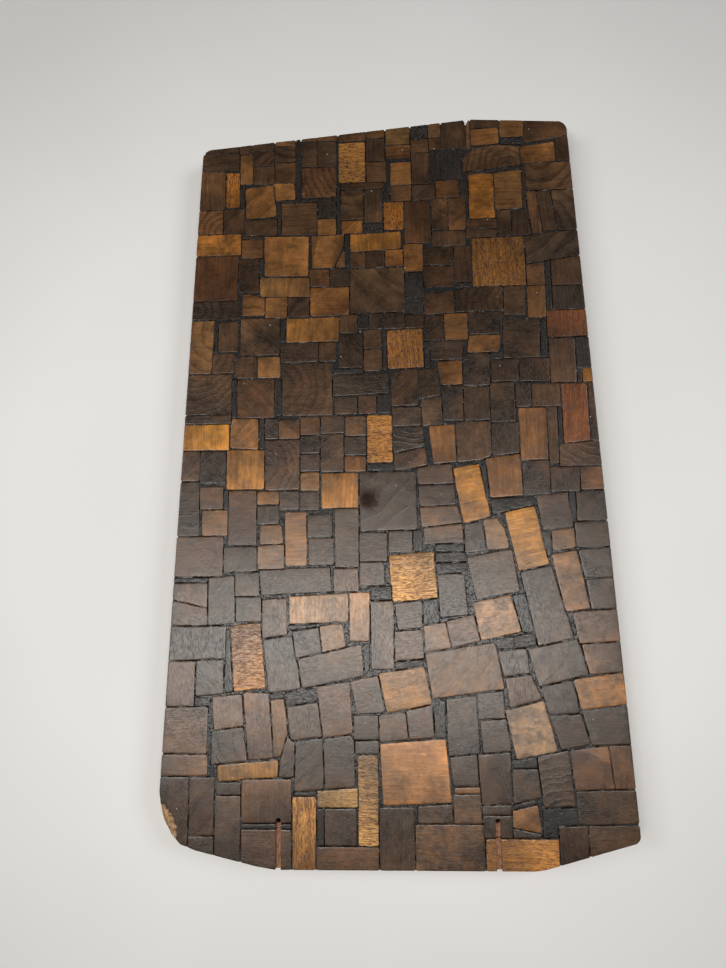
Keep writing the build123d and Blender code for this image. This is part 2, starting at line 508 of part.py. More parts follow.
# The broken left foot corner falls away from a line across the face.
break_outward = Vector(*break_line).cross(Vector(0, 0, 1))
break_normal = break_outward.rotate(Axis((0, 0, 0), break_line), -break_slope)
break_plane = Plane(origin=break_centre, x_dir=break_line, z_dir=break_normal)

# The whole body that every piece is trimmed to: the outline with the two
# cord holes, their channels to the foot, and the broken corner.
with BuildPart() as envelope:
    extrude(outline.sketch, amount=face_height)
    with Locations(face_plane):
        with Locations(*cord_hole_spots):
            Hole(radius=cord_hole_radius, depth=cord_hole_depth)
    for hole_x, hole_y in cord_hole_spots:
        with Locations((hole_x, hole_y, face_height)):
            Box(
                channel_width,
                hole_y - foot_edge,
                channel_depth,
                align=(Align.CENTER, Align.MAX, Align.MAX),
                mode=Mode.SUBTRACT,
            )
    with Locations(break_plane):
        Box(
            *break_block,
            align=(Align.CENTER, Align.CENTER, Align.MIN),
            mode=Mode.SUBTRACT,
        )

# Flat board that carries the mosaic.
with BuildPart() as backing_board:
    extrude(outline.sketch, amount=board_thickness)
backing_board.part.label = "backing_board"
export_step(backing_board.part, "parts/backing_board.step")

# Black filler: a thin bed under the blocks and a web that fills the joints.
with BuildSketch(block_plane) as pockets:
    for zone in [zone for row in mosaic.values() for zone in row]:
        for wood, *shape in zone:
            with BuildSketch(mode=Mode.PRIVATE) as pocket:
                Polygon(*corners_of(shape), align=None)
                offset(amount=-joint_width / 2, kind=Kind.INTERSECTION)
            add(pocket.sketch)
with BuildPart() as filler_bed:
    with BuildSketch(bed_plane):
        add(outline.sketch)
    extrude(amount=bed_thickness)
    with BuildSketch(block_plane):
        add(outline.sketch)
        add(pockets.sketch, mode=Mode.SUBTRACT)
    extrude(amount=block_height - filler_sink)
    add(envelope.part, mode=Mode.INTERSECT)
filler_bed.part.label = "filler_bed"
export_step(filler_bed.part, "parts/filler_bed.step")


def make_blocks(node_name, shapes, edge=worn_edge):
    """One node of separate wood blocks, each with worn top edges."""
    with BuildPart() as blocks:
        for shape in shapes:
            with BuildSketch(block_plane):
                Polygon(*corners_of(shape), align=None)
                offset(amount=-joint_width / 2, kind=Kind.INTERSECTION)
            extrude(amount=block_height)
        tops = blocks.faces().filter_by(Axis.Z).filter_by_position(
            Axis.Z, face_height - 0.01, face_height + 0.01
        )
        chamfer(tops.edges(), length=edge)
        add(envelope.part, mode=Mode.INTERSECT)
    blocks.part.label = node_name
    export_step(blocks.part, f"parts/{node_name}.step")


def shapes_of(wood, zones):
    """Every block of one wood in the given zones."""
    return [shape for zone in zones for name, *shape in zone if name == wood]


for row_name, zones in mosaic.items():
    for column_name, zone in zip(column_names, zones):
        for wood in common_woods:
            make_blocks(f"{wood}_{row_name}_{column_name}", shapes_of(wood, [zone]))
    for wood in accent_woods:
        if shapes_of(wood, zones):
            make_blocks(f"{wood}_{row_name}", shapes_of(wood, zones))
    make_blocks(f"bog_oak_{row_name}", shapes_of("bog_oak", zones), sliver_worn_edge)
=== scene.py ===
"""Looks of the wooden mosaic plaque: worn wood blocks set in black filler on a plywood board."""

import math
import random

import bpy
import numpy as np
from mathutils import Matrix, Vector, noise
from mathutils.geometry import delaunay_2d_cdt


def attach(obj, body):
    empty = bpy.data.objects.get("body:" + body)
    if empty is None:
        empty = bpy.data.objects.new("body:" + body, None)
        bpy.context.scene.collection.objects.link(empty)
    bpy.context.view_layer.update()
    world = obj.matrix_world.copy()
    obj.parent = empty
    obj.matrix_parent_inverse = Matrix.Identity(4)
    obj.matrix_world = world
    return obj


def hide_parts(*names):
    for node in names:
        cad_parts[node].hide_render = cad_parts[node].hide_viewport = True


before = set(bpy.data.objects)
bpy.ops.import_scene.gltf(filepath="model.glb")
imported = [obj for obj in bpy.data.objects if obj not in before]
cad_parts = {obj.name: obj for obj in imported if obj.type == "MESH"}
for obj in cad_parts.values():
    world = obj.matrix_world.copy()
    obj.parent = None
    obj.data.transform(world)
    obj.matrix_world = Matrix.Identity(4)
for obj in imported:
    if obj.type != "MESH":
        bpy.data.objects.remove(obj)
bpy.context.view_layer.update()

MM = 0.001
FACE = 19.0            # height of the worn face
BLOCK_FOOT = 7.5       # where the blocks stand on the bed
BOARD_TOP = 6.0
FILLER_TOP = 18.78
HOLES = ((-74.9, -225.8), (64.8, -225.8))
HOLE_RADIUS = 1.8
HOLE_FLOOR = 10.2
CHANNEL_HALF = 1.7
CHANNEL_FLOOR = 15.6
BREAK_POINT = (-146.2, -227.4)
BREAK_ALONG = (0.3862, -0.9224)
BREAK_OUT = (-0.9224, -0.3862)
BREAK_FALL = math.tan(math.radians(40))
STAIN = (-14.5, -19.5)


# ---------------------------------------------------------------- outlines

def welded(obj):
    """Places (mm) and triangles of a CAD node, with its doubled corners joined."""
    mesh = obj.data
    co = np.empty(len(mesh.vertices) * 3, np.float32)
    mesh.vertices.foreach_get("co", co)
    mesh.calc_loop_triangles()
    tri = np.empty(len(mesh.loop_triangles) * 3, np.int32)
    mesh.loop_triangles.foreach_get("vertices", tri)
    places, joined = np.unique(
        np.round(co.reshape(-1, 3) * 1000, 2), axis=0, return_inverse=True
    )
    return places, joined.reshape(-1)[tri].reshape(-1, 3)


def islands(places, tris):
    """Triangles of each separate solid."""
    parent = list(range(len(places)))

    def root(i):
        while parent[i] != i:
            parent[i] = parent[parent[i]]
            i = parent[i]
        return i

    for a, b, c in tris.tolist():
        parent[root(a)] = root(b)
        parent[root(b)] = root(c)
    groups = {}
    for t in tris.tolist():
        groups.setdefault(root(t[0]), []).append(t)
    return list(groups.values())


def foot_loop(places, tris):
    """Outline of a solid's flat underside, anticlockwise, without needless points."""
    low = min(places[i][2] for t in tris for i in t)
    used = {}
    for t in tris:
        if all(abs(places[i][2] - low) < 0.02 for i in t):
            for a, b in ((t[0], t[1]), (t[1], t[2]), (t[2], t[0])):
                if a != b:
                    key = (min(a, b), max(a, b))
                    used[key] = used.get(key, 0) + 1
    links = {}
    for (a, b), n in used.items():
        if n == 1:
            links.setdefault(a, []).append(b)
            links.setdefault(b, []).append(a)
    best = []
    seen = set()
    for start in links:
        if start in seen:
            continue
        loop = [start]
        seen.add(start)
        while True:
            nxt = [k for k in links[loop[-1]] if k not in seen]
            if not nxt:
                break
            loop.append(nxt[0])
            seen.add(nxt[0])
        if len(loop) > len(best):
            best = loop
    pts = [Vector((float(places[i][0]), float(places[i][1]))) for i in best]
    if area(pts) < 0:
        pts.reverse()
    out = []
    for i, p in enumerate(pts):
        a, b = pts[i - 1], pts[(i + 1) % len(pts)]
        if (p - a).length < 0.03:
            continue
        bend = (p - a).cross(b - p) / max((p - a).length * (b - p).length, 1e-9)
        if abs(bend) > 0.003:
            out.append(p)
    return out


def area(pts):
    return 0.5 * sum(pts[i - 1].cross(pts[i]) for i in range(len(pts)))


def rounded(pts, low, high, rng):
    """The outline with each corner worn round."""
    out = []
    n = len(pts)
    for i, p in enumerate(pts):
        a, b = pts[i - 1] - p, pts[(i + 1) % n] - p
        la, lb = a.length, b.length
        a, b = a / la, b / lb
        angle = a.angle(b, 0)
        if angle > math.radians(165):
            out.append(p)
            continue
        cut = min(rng.uniform(low, high) / math.tan(angle / 2), 0.32 * la, 0.32 * lb)
        p0, p1 = p + a * cut, p + b * cut
        steps = 3 if cut > 0.25 else 2
        for k in range(steps + 1):
            t = k / steps
            out.append(p0 * (1 - t) ** 2 + p * 2 * t * (1 - t) + p1 * t * t)
    return out


def divided(pts, step):
    out = []
    n = len(pts)
    for i, p in enumerate(pts):
        q = pts[(i + 1) % n]
        k = max(1, round((q - p).length / step))
        for j in range(k):
            out.append(p.lerp(q, j / k))
    return out


def outward(pts):
    n = len(pts)
    out = []
    for i in range(n):
        d = pts[(i + 1) % n] - pts[i - 1]
        v = Vector((d.y, -d.x))
        out.append(v / max(v.length, 1e-9))
    return out


def as_array(pts):
    return np.array([(p[0], p[1]) for p in pts], float).reshape(-1, 2)


def far_from(points, loop):
    """Distance of each point from a closed loop."""
    a = loop
    b = np.roll(loop, -1, axis=0)
    d = b - a
    rel = points[:, None, :] - a[None, :, :]
    t = np.clip((rel * d[None]).sum(2) / np.maximum((d * d).sum(1), 1e-12)[None], 0, 1)
    gap = rel - t[:, :, None] * d[None]
    return np.sqrt((gap * gap).sum(2)).min(1)


def within(points, loop):
    x, y = points[:, 0:1], points[:, 1:2]
    ax, ay = loop[:, 0][None], loop[:, 1][None]
    b = np.roll(loop, -1, axis=0)
    bx, by = b[:, 0][None], b[:, 1][None]
    cross = (ay > y) != (by > y)
    with np.errstate(divide="ignore", invalid="ignore"):
        xs = ax + (y - ay) * (bx - ax) / (by - ay)
    return ((cross & (x < xs)).sum(1) % 2) == 1


def wobble(x, y, size, seed):
    return noise.noise(Vector((x / size, y / size, seed)))


# ---------------------------------------------------------------- carved shapes

def along_break(x, y):
    """Place of a point along the break line, from its middle."""
    return (x - BREAK_POINT[0]) * BREAK_ALONG[0] + (y - BREAK_POINT[1]) * BREAK_ALONG[1]


def ragged(along):
    """How far the torn edge strays from the straight break line."""
    return 0.9 * wobble(along, 3.0, 2.2, 5.1) + 0.5 * wobble(along, 9.0, 0.9, 2.7)


def break_depth(x, y):
    """How far outside the break line a point of the face lies: far inside away from the corner."""
    along = along_break(x, y)
    if abs(along) > 30 or x > -120 or y > -195:
        return -99.0
    dx, dy = x - BREAK_POINT[0], y - BREAK_POINT[1]
    return dx * BREAK_OUT[0] + dy * BREAK_OUT[1] + ragged(along)


def chipped(x, y, out):
    """Whether the face is chipped to raw wood beside the broken corner."""
    along = along_break(x, y)
    width = 3.6 * (1 - (along / 13) ** 2) + 2.2 * wobble(x, y, 2.4, 33)
    return abs(along) < 13 and -out < width


def channel_wall(x, y):
    """Half the width of a cord channel, whose walls are a little uneven."""
    return CHANNEL_HALF + 0.12 * wobble(x, y, 2.0, 8.3)


def channel_gap(x, y):
    """Distance sideways from the wall of the nearest cord channel: negative inside it."""
    best = 99.0
    for hx, hy in HOLES:
        if y < hy + 2.5:
            if y > hy:
                side = math.hypot(x - hx, y - hy) - HOLE_RADIUS
            else:
                side = abs(x - hx) - channel_wall(x, y)
            best = min(best, side)
    return best


def in_hole(x, y):
    return any(math.hypot(x - hx, y - hy) < HOLE_RADIUS - 0.02 for hx, hy in HOLES)


# ---------------------------------------------------------------- blocks

WOODS = {
    "walnut": (0.048, 0.025, 0.012),
    "chestnut": (0.085, 0.040, 0.016),
    "maple": (0.200, 0.086, 0.024),
    "mahogany": (0.250, 0.103, 0.020),
    "padauk": (0.160, 0.050, 0.011),
    "bog_oak": (0.026, 0.020, 0.016),
}
TONE_STEP = 1.2

# The woods look a little paler in some zones of the face.
PALER = {
    "crown": 1.0,
    "upper": 0.92,
    "middle": 1.1,
    "lower": 1.07,
    "foot": 1.15,
}

# How each figure is drawn: share of growth rings, streaks, pores and clouding.
FIGURES = {
    "h": (0.10, 0.65, 0.25, 0.8),
    "v": (0.10, 0.65, 0.25, 0.8),
    "d": (0.75, 0.45, 0.10, 1.0),
    "b": (0.75, 0.45, 0.10, 1.0),
    "r": (0.95, 0.35, 0.10, 0.8),
    "p": (0.20, 0.30, 0.10, 0.9),
    "m": (0.25, 0.35, 0.20, 1.35),
    "s": (0.95, 0.30, 0.10, 0.8),
    "H": (0.0, 0.65, 1.00, 0.4),
    "V": (0.0, 0.90, 0.90, 0.5),
}

# Looks of the blocks, from the crown down and left to right in each zone:
# tone (5 is the wood's own), figure, and w for whitish, y for yellow, r for red.
LOOKS = {
    "walnut_crown_left": "6h 6h 6p 6r 7h 5r 6p 6d 5p 4p",
    "walnut_crown_centre": "5v 6h 6h 6v 4h 6d 6b 5v",
    "walnut_crown_right": "6p 6v 7p 5p 4p 6v 7r 4v 4v 5h 5h 6v 6d",
    "walnut_upper_left": "3m 5d 4r 4h",
    "walnut_upper_centre": "3m 4v 5v 4h 4m 4r 3h 3h 3p 3d 3b 5h 4h 4d",
    "walnut_upper_right": "4v 3m 5m 4m 4v 4v",
    "walnut_middle_left": "4h 4m 4m 4m 3d 4m 4m 4r 4r 4m",
    "walnut_middle_centre": "4m 3m 5m 4r 3h 4h 6d 5p 4h",
    "walnut_middle_right": "3v 4m 4v 4v 4m 4v 4v 5h 5p 4m",
    "walnut_lower_left": "5v 4p 6b 5d 5p 4v 4b 5v 4b",
    "walnut_lower_centre": "5p 5p 4p 5p",
    "walnut_lower_right": "4p 5p 5v 4v 4v",
    "walnut_foot_left": "6v 5r 4d 5d 3h 5d 4v 5p 4h 6h",
    "walnut_foot_centre": "6p 4p 4p 2p 4p 4p 6h 4p 5v",
    "walnut_foot_right": "5p 4p 4h 5p 5v 5r 4m 4m 5h 4v 3h 4v",
    "chestnut_crown_left": "7r 5v 6v 5h 7r 6p",
    "chestnut_crown_centre": "6p 5p 4h 6p 6p 4h 4h 5h 5h 5r 4h 5p 4r 4v 5d 5p",
    "chestnut_crown_right": "6p 5r 5r 5v",
    "chestnut_upper_left": "5vr 5v 5b 4d 5r 5r 5r 5r 5b",
    "chestnut_upper_centre": "4b 5p 5b 4b 4v 4p 5p 3d",
    "chestnut_upper_right": "4v 5p 4h 5v",
    "chestnut_middle_left": "6p 5b 4d 4r 5p 4h",
    "chestnut_middle_centre": "4m 4p 4p 5p 4d 4d 4h 5s 4h",
    "chestnut_middle_right": "5v 3v 4v 5v 4r 5p",
    "chestnut_lower_left": "5h 5v 4p 5v 5p 5v",
    "chestnut_lower_centre": "5v 5p 5v 5p 4p 5p",
    "chestnut_lower_right": "4p 5p 6p 4d 5v",
    "chestnut_foot_left": "6v 5v 6h 6h 5v",
    "chestnut_foot_centre": "5p 5p 5m 5h",
    "chestnut_foot_right": "5v 6s 4h",
    "maple_crown": "3p 3p 4h 3h 4v 4p 5p 3h 4d 4p 3d 4s",
    "maple_upper": "5p 4p 3p 5v 4s 4r 4p 3v 3p 5r 3p 5p 3p",
    "maple_middle": "5d 4v 4v 3v 4v 5p 3s 4p 4p 5pw 6h 3p",
    "maple_lower": "4pw 4mw 8vw 7vw 7mw 5pw 4pw 3d",
    "maple_foot": "4v 6mw 7p 4h 4d",
    "mahogany_crown": "6H 5V 3m 5V 4m 4v 3V",
    "mahogany_upper": "5v 5V 3p",
    "mahogany_middle": "7vy 8H 6v 6v 7hy 4h 7hy",
    "mahogany_lower": "9Hy 6H 6h 5m",
    "mahogany_foot": "5vy 7Hw 7Hw 6Vw 7H",
    "padauk_upper": "5V",
    "padauk_middle": "6V",
}


def wood_of(node):
    return max((w for w in WOODS if node.startswith(w)), key=len, default=None)


def block_outlines():
    blocks = []
    for name, obj in sorted(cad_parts.items()):
        wood = wood_of(name)
        if wood is None:
            continue
        places, tris = welded(obj)
        for solid in islands(places, tris):
            loop = foot_loop(places, solid)
            if len(loop) < 3:
                continue
            centre = sum(loop, Vector((0, 0))) / len(loop)
            blocks.append(dict(node=name, wood=wood, loop=loop, centre=centre))
    blocks.sort(key=lambda b: (b["node"], -b["centre"].y, b["centre"].x))
    return blocks


def level_side(loop):
    """Direction of the block's side that runs most nearly across the plaque."""
    best, slope = 0.0, 9.0
    for i, p in enumerate(loop):
        d = loop[(i + 1) % len(loop)] - p
        angle = (math.atan2(d.y, d.x) + math.pi / 2) % math.pi - math.pi / 2
        if d.length > 6 and abs(angle) < slope:
            best, slope = angle, abs(angle)
    return best if slope < 0.7 else 0.0


def long_side(loop):
    """Direction of the block's longest side."""
    sides = [loop[(i + 1) % len(loop)] - p for i, p in enumerate(loop)]
    d = max(sides, key=lambda v: v.length)
    return math.atan2(d.y, d.x)


def dress(block, look, index):
    """Chooses the look of one block."""
    rng = random.Random(1000 + index)
    wood = WOODS[block["wood"]]
    figure = look[1]
    tone = TONE_STEP ** (int(look[0]) - 5 + rng.uniform(-0.3, 0.3))
    tone *= next(v for zone, v in PALER.items() if "_" + zone in block["node"])
    warm = rng.gauss(0, 0.06)
    hue = {"w": (1.03, 1.2, 1.75), "y": (1.0, 1.1, 0.8), "r": (1.08, 0.84, 0.6)}.get(
        look[2:], (1.0, 1.0, 1.0)
    )
    block["tint"] = [
        wood[0] * tone * hue[0] * (1 + warm),
        wood[1] * tone * hue[1],
        wood[2] * tone * hue[2] * (1 - 1.4 * warm),
    ]
    lean = {"v": 90, "V": 90, "d": 42, "b": -42}.get(figure, 0)
    level = level_side(block["loop"])
    if block["wood"] == "bog_oak":
        level, lean = long_side(block["loop"]), 0
    block["angle"] = level + math.radians(lean + rng.uniform(-5, 5))
    block["mix"] = [share * rng.uniform(0.75, 1.2) for share in FIGURES[figure]]
    away, turn = rng.uniform(30, 80), rng.uniform(0, 2 * math.pi)
    gap = rng.uniform(4.0, 8.5)
    if figure in "db":
        turn = block["angle"] + math.pi / 2
        away = rng.uniform(50, 90)
        gap = rng.uniform(9, 18)
    if figure == "r":
        away = rng.uniform(14, 34)
    if figure == "s":
        gap = rng.uniform(20, 30)
    block["pith"] = (
        block["centre"].x + away * math.cos(turn),
        block["centre"].y + away * math.sin(turn),
        gap,
    )
    block["drift"] = (rng.uniform(-200, 200), rng.uniform(-200, 200), rng.uniform(0, 50))
    block["lean"] = (rng.uniform(-0.005, 0.005), rng.uniform(-0.005, 0.005))
    block["fade"] = (rng.gauss(0, 0.017), rng.gauss(0, 0.017))
    block["drop"] = rng.uniform(0.0, 0.09)
    block["seed"] = rng.uniform(0, 90)
    block["rng"] = rng


def find_neighbours(blocks):
    """Gives every block the outlines that lie close to it."""
    boxes = []
    for block in blocks:
        loop = as_array(block["loop"])
        boxes.append((loop.min(0), loop.max(0), loop))
    for i, block in enumerate(blocks):
        low, high, _ = boxes[i]
        block["near"] = [
            loop
            for j, (a, b, loop) in enumerate(boxes)
            if j != i and (a < high + 4).all() and (b > low - 4).all()
        ]


def worn_loop(block, outline, share):
    """The block's edge as it is now: corners rubbed round, sides a little ragged.

    The sides stand out towards the neighbours, by less than half of the joint."""
    rng = block["rng"]
    thin = abs(area(block["loop"])) < 60
    high = 0.25 if thin else 0.55
    pts = divided(rounded(block["loop"], 0.1, high, rng), 1.0)
    normals = outward(pts)
    rim = far_from(as_array(pts), outline)
    joint = np.full(len(pts), 4.0)
    for loop in block["near"]:
        joint = np.minimum(joint, far_from(as_array(pts), loop))
    s = block["seed"]
    out = []
    for p, v, d, gap in zip(pts, normals, rim, joint):
        push = 0.3 * gap * share + 0.14 * wobble(p.x, p.y, 4.5, s)
        push = min(push + 0.1 * wobble(p.x, p.y, 1.3, s + 3), 0.85)
        chip = wobble(p.x, p.y, 2.6, s + 11)
        if chip > 0.42 and not thin:
            push -= min(1.3 * (chip - 0.42), 0.5)
        if d < 0.3:
            push = -0.04 + 0.4 * min(push - 0.2, 0)
        out.append(p + v * min(push, gap / 2 - 0.13, max(d - 0.05, -0.04)))
    return out


def face_height(block, x, y, d):
    """Height (mm) of the block's worn face at a point lying d inside its edge."""
    c, s = block["centre"], block["seed"]
    z = FACE - block["drop"] + block["lean"][0] * (x - c.x) + block["lean"][1] * (y - c.y)
    z += 0.05 * wobble(x, y, 11, s) + 0.015 * wobble(x, y, 2.2, s)
    wear = 0.75 + 0.9 * wobble(x, y, 3.5, s + 20)
    z -= max(wear, 0.25) * (0.11 * math.exp(-d / 0.16) + 0.008 * math.exp(-d / 1.2))
    return min(z, FACE)


def mesh_block(block, outline):
    """Vertices (mm), faces and painted values of one worn block."""
    for share in (1.0, 0.5, 0.1):
        pts = worn_loop(block, outline, share)
        net = delaunay_2d_cdt([Vector(p) for p in pts], [], [list(range(len(pts)))], 1, 1e-5, True)
        border = rim_order([t for t, own in zip(net[2], net[5]) if len(own)])
        if len(net[0]) == len(border) == len(pts):
            break
    loop = as_array(pts)
    block["edge"] = loop
    low, high = loop.min(0), loop.max(0)
    rng = block["rng"]
    normals = as_array(outward(pts))
    inner = [loop - normals * k for k in (0.3, 0.85)]
    keep = [
        ring[(far_from(ring, loop) > 0.8 * k) & within(ring, loop)]
        for ring, k in zip(inner, (0.3, 0.85))
    ]
    near_break = low[0] < -128 and low[1] < -200
    step = 0.9 if near_break else 2.3
    nx = max(1, int((high[0] - low[0]) / step))
    ny = max(1, int((high[1] - low[1]) / step))
    grid = np.array(
        [
            (
                low[0] + (i + 0.5 + rng.uniform(-0.3, 0.3)) * (high[0] - low[0]) / nx,
                low[1] + (j + 0.5 + rng.uniform(-0.3, 0.3)) * (high[1] - low[1]) / ny,
            )
            for i in range(nx)
            for j in range(ny)
        ]
    )
    grid = grid[(far_from(grid, loop) > 1.3) & within(grid, loop)]
    free = np.concatenate(keep + [grid]) if len(grid) else np.concatenate(keep)
    edges = [(i, (i + 1) % len(pts)) for i in range(len(pts))]
    extra, extra_edges = carved_lines(low, high, len(pts))
    if extra:
        gaps = np.array([abs(channel_gap(x, y)) for x, y in free])
        deep = np.array([abs(break_depth(x, y)) for x, y in free])
        free = free[(gaps > 0.35) & (deep > 0.35)]
    verts = [Vector(p) for p in loop] + extra + [Vector(p) for p in free]
    done = delaunay_2d_cdt(verts, edges + extra_edges, [list(range(len(pts)))], 1, 1e-5, True)
    flat, faces = only_used(done[0], [t for t, own in zip(done[2], done[5]) if len(own)])
    xy = as_array(flat)
    dist = far_from(xy, loop)
    on_rim = rim_order(faces)
    if len({a for a, b in on_rim}) < len(on_rim):
        raise ValueError(f"the outline of a block in {block['node']} touches itself")
    z = np.empty(len(xy))
    marks = np.zeros((len(xy), 4))
    marks[:, 3] = np.minimum(dist, 6.0)
    for i, (x, y) in enumerate(xy):
        z[i] = face_height(block, x, y, dist[i])
        out = break_depth(x, y)
        if out > 0:
            rough = 0.5 * wobble(x, y, 1.6, 4) + 0.35 * wobble(x, y, 0.8, 9)
            z[i] = min(z[i], FACE - 0.5 - out * BREAK_FALL + rough)
            marks[i, 0] = 1.0
        elif chipped(x, y, out):
            z[i] -= 0.2 + 0.5 * abs(wobble(x, y, 1.4, 21))
            marks[i, 0] = 1.0
        gap = channel_gap(x, y)
        if gap < -0.05:
            z[i] = min(z[i], CHANNEL_FLOOR + 0.18 * wobble(x, y, 1.1, 6))
            marks[i, 1] = 1.0
            if in_hole(x, y):
                z[i] = HOLE_FLOOR
                marks[i, 2] = 1.0
    return xy, z, faces, on_rim, marks


def carved_lines(low, high, start):
    """Lines where the face drops into a cord channel, a cord hole or the broken corner."""
    pts, edges = [], []

    def run(line, closed=False):
        first = start + len(pts)
        for x, y in line:
            pts.append(Vector((x, y)))
        n = len(line)
        for k in range(n if closed else n - 1):
            edges.append((first + k, first + (k + 1) % n))

    for hx, hy in HOLES:
        if low[0] - 3 < hx < high[0] + 3 and low[1] < hy + 3:
            bottom, top = max(low[1] - 1, -262), min(hy, high[1] + 1)
            count = max(2, int((top - bottom) / 0.8))
            for side in (-1, 1):
                for inset in (-0.04, 0.14):
                    line = []
                    for k in range(count + 1):
                        y = bottom + (top - bottom) * k / count
                        edge = channel_wall(hx + side * CHANNEL_HALF, y)
                        line.append((hx + side * (edge - inset), y))
                    run(line)
            if high[1] > hy - 2:
                for radius in (HOLE_RADIUS + 0.06, HOLE_RADIUS - 0.1):
                    run(
                        [
                            (
                                hx + radius * math.cos(2 * math.pi * k / 20),
                                hy + radius * math.sin(2 * math.pi * k / 20),
                            )
                            for k in range(20)
                        ],
                        True,
                    )
    if low[0] < -132 and low[1] < -205:
        for shift in (-0.06, 0.2):
            line = []
            for k in range(60):
                a = -24 + k * 0.8
                out = shift - ragged(a)
                line.append(
                    (
                        BREAK_POINT[0] + a * BREAK_ALONG[0] + out * BREAK_OUT[0],
                        BREAK_POINT[1] + a * BREAK_ALONG[1] + out * BREAK_OUT[1],
                    )
                )
            run(line)
    return pts, edges


def only_used(points, faces):
    """The points that the faces use, and the faces numbered by them."""
    used = sorted({i for f in faces for i in f})
    again = {i: k for k, i in enumerate(used)}
    return [points[i] for i in used], [tuple(again[i] for i in f) for f in faces]


def rim_order(faces):
    """Directed edges used by one face only: the border of a flat net of faces."""
    seen = {}
    for f in faces:
        for k in range(len(f)):
            a, b = f[k], f[(k + 1) % len(f)]
            if (b, a) in seen:
                del seen[(b, a)]
            else:
                seen[(a, b)] = True
    return list(seen)


def close_down(n, rim):
    """Closes a net of n points downwards from its border.

    Gives the border points to be repeated below, the faces of the sides and those of the foot."""
    low = {}
    order = []
    for a, b in rim:
        for i in (a, b):
            if i not in low:
                low[i] = n + len(order)
                order.append(i)
    sides = [(b, a, low[a], low[b]) for a, b in rim]
    nxt = {a: b for a, b in rim}
    feet = []
    left = set(nxt)
    while left:
        i = left.pop()
        loop = [i]
        j = nxt[i]
        while j != i and j in left:
            left.discard(j)
            loop.append(j)
            j = nxt[j]
        feet.append([low[k] for k in reversed(loop)])
    return order, sides, feet


# ---------------------------------------------------------------- mesh building

def build_mesh(name, verts, faces, layers):
    mesh = bpy.data.meshes.new(name)
    mesh.from_pydata((np.asarray(verts) * MM).tolist(), [], faces)
    mesh.update()
    for layer, (kind, values) in layers.items():
        data = mesh.attributes.new(layer, kind, "POINT").data
        field = "color" if kind == "FLOAT_COLOR" else "vector"
        data.foreach_set(field, np.asarray(values, np.float32).reshape(-1))
    obj = bpy.data.objects.new(name, mesh)
    bpy.context.scene.collection.objects.link(obj)
    return obj


def make_wood_pieces(blocks, outline, materials):
    by_node = {}
    for block in blocks:
        by_node.setdefault(block["node"], []).append(block)
    for node, group in by_node.items():
        verts, faces = [], []
        tint, mix, grain, pith, marks = [], [], [], [], []
        for block in group:
            xy, z, top, rim, mark = mesh_block(block, outline)
            order, sides, feet = close_down(len(z), rim)
            base = len(verts)
            every = [(x, y, h) for (x, y), h in zip(xy, z)]
            every += [(xy[i][0], xy[i][1], BLOCK_FOOT) for i in order]
            verts += every
            for f in list(top) + sides + feet:
                faces.append(tuple(base + k for k in f))
            low = mark[order].copy()
            low[:, 1:3] = 0
            marks += mark.tolist() + low.tolist()
            n = len(every)
            fade_x, fade_y = block["fade"]
            for x, y, h in every:
                fade = fade_x * (x - block["centre"].x) + fade_y * (y - block["centre"].y)
                fade = 1 + max(-0.35, min(0.35, fade))
                tint.append([c * fade for c in block["tint"]] + [1.0])
            mix += [tuple(block["mix"])] * n
            pith += [block["pith"]] * n
            ca, sa = math.cos(block["angle"]), math.sin(block["angle"])
            cx, cy = block["centre"]
            dx, dy, dz = block["drift"]
            for x, y, h in every:
                u, v = x - cx, y - cy
                grain.append((u * ca + v * sa + dx, -u * sa + v * ca + dy, h + dz))
        obj = build_mesh(
            node + "_worn",
            verts,
            faces,
            {
                "tint": ("FLOAT_COLOR", tint),
                "blend": ("FLOAT_COLOR", mix),
                "grain": ("FLOAT_VECTOR", grain),
                "pith": ("FLOAT_VECTOR", pith),
                "marks": ("FLOAT_COLOR", marks),
            },
        )
        wood = wood_of(node)
        obj.data.materials.append(materials[wood])
        shade(obj)
        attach(obj, "root")
        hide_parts(node)


def shade(obj, angle=38):
    obj.data.polygons.foreach_set("use_smooth", [True] * len(obj.data.polygons))
    obj.data.set_sharp_from_angle(angle=math.radians(angle))


